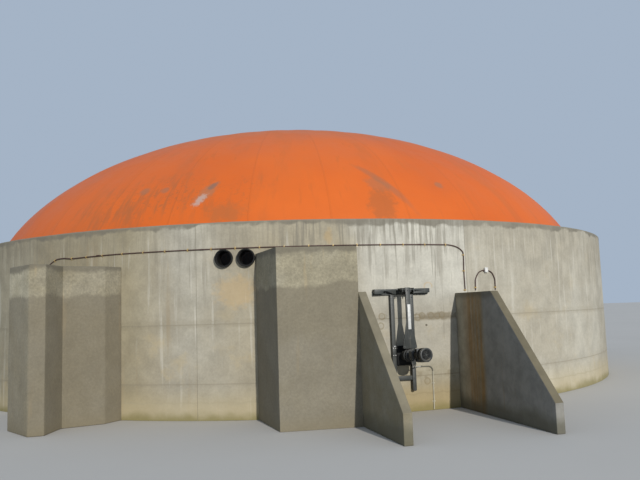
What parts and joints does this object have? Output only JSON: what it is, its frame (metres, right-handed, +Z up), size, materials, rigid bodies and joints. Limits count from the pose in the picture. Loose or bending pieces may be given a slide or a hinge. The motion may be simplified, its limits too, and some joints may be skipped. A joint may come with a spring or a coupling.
{
  "type": "biogas digester",
  "caption": "Round cast concrete digester tank with a domed gas membrane roof, pipe stubs, concrete side blocks and a wall-mounted agitator in a bay between wing walls.",
  "frame": {"origin": "centre of the tank on the ground, at the underside of its floor slab", "axes": "+Z up through the top of the dome, -Y towards the side with the agitator bay, +X to the right seen from there"},
  "size_m": [20.4952, 23.4446, 8.128],
  "materials": {
    "concrete": "cast, weathered, streaked with damp",
    "membrane": "coated fabric, satin, dusty",
    "galvanised_steel": "galvanised",
    "black_plastic": "satin",
    "brown_plastic": "weathered",
    "cream_plastic": "weathered",
    "white_plastic": "satin",
    "grey_paint": "satin, dusty",
    "dark_paint": "satin"
  },
  "bodies": {
    "root": {"wall_segment_01": "concrete", "wall_segment_02": "concrete", "wall_segment_03": "concrete", "wall_segment_04": "concrete", "wall_segment_05": "concrete", "wall_segment_06": "concrete", "wall_segment_07": "concrete", "wall_segment_08": "concrete", "wall_segment_09": "concrete", "wall_segment_10": "concrete", "wall_segment_11": "concrete", "floor_slab": "concrete", "middle_block": "concrete", "left_block": "concrete", "left_block_step": "concrete", "left_wing_wall": "concrete", "right_wing_wall": "concrete", "membrane_roof": "membrane", "membrane_clamp_rail": "galvanised_steel", "inlet_stub_left": "black_plastic", "inlet_stub_right": "black_plastic", "wall_conduit": "brown_plastic", "loop_conduit": "brown_plastic", "junction_box": "white_plastic", "agitator_top_beam": "grey_paint", "agitator_left_upright": "grey_paint", "agitator_right_upright": "grey_paint", "agitator_arm_left": "grey_paint", "agitator_arm_right": "grey_paint", "agitator_mast": "grey_paint", "agitator_level_strip": "white_plastic", "agitator_bearing_housing": "dark_paint", "agitator_cross_piece": "grey_paint", "agitator_foot_member": "grey_paint", "agitator_gearbox": "dark_paint", "agitator_neck": "dark_paint", "agitator_motor": "dark_paint", "agitator_fan_cowl": "dark_paint", "agitator_terminal_box": "dark_paint", "motor_conduit": "cream_plastic"}
  },
  "joints": []
}
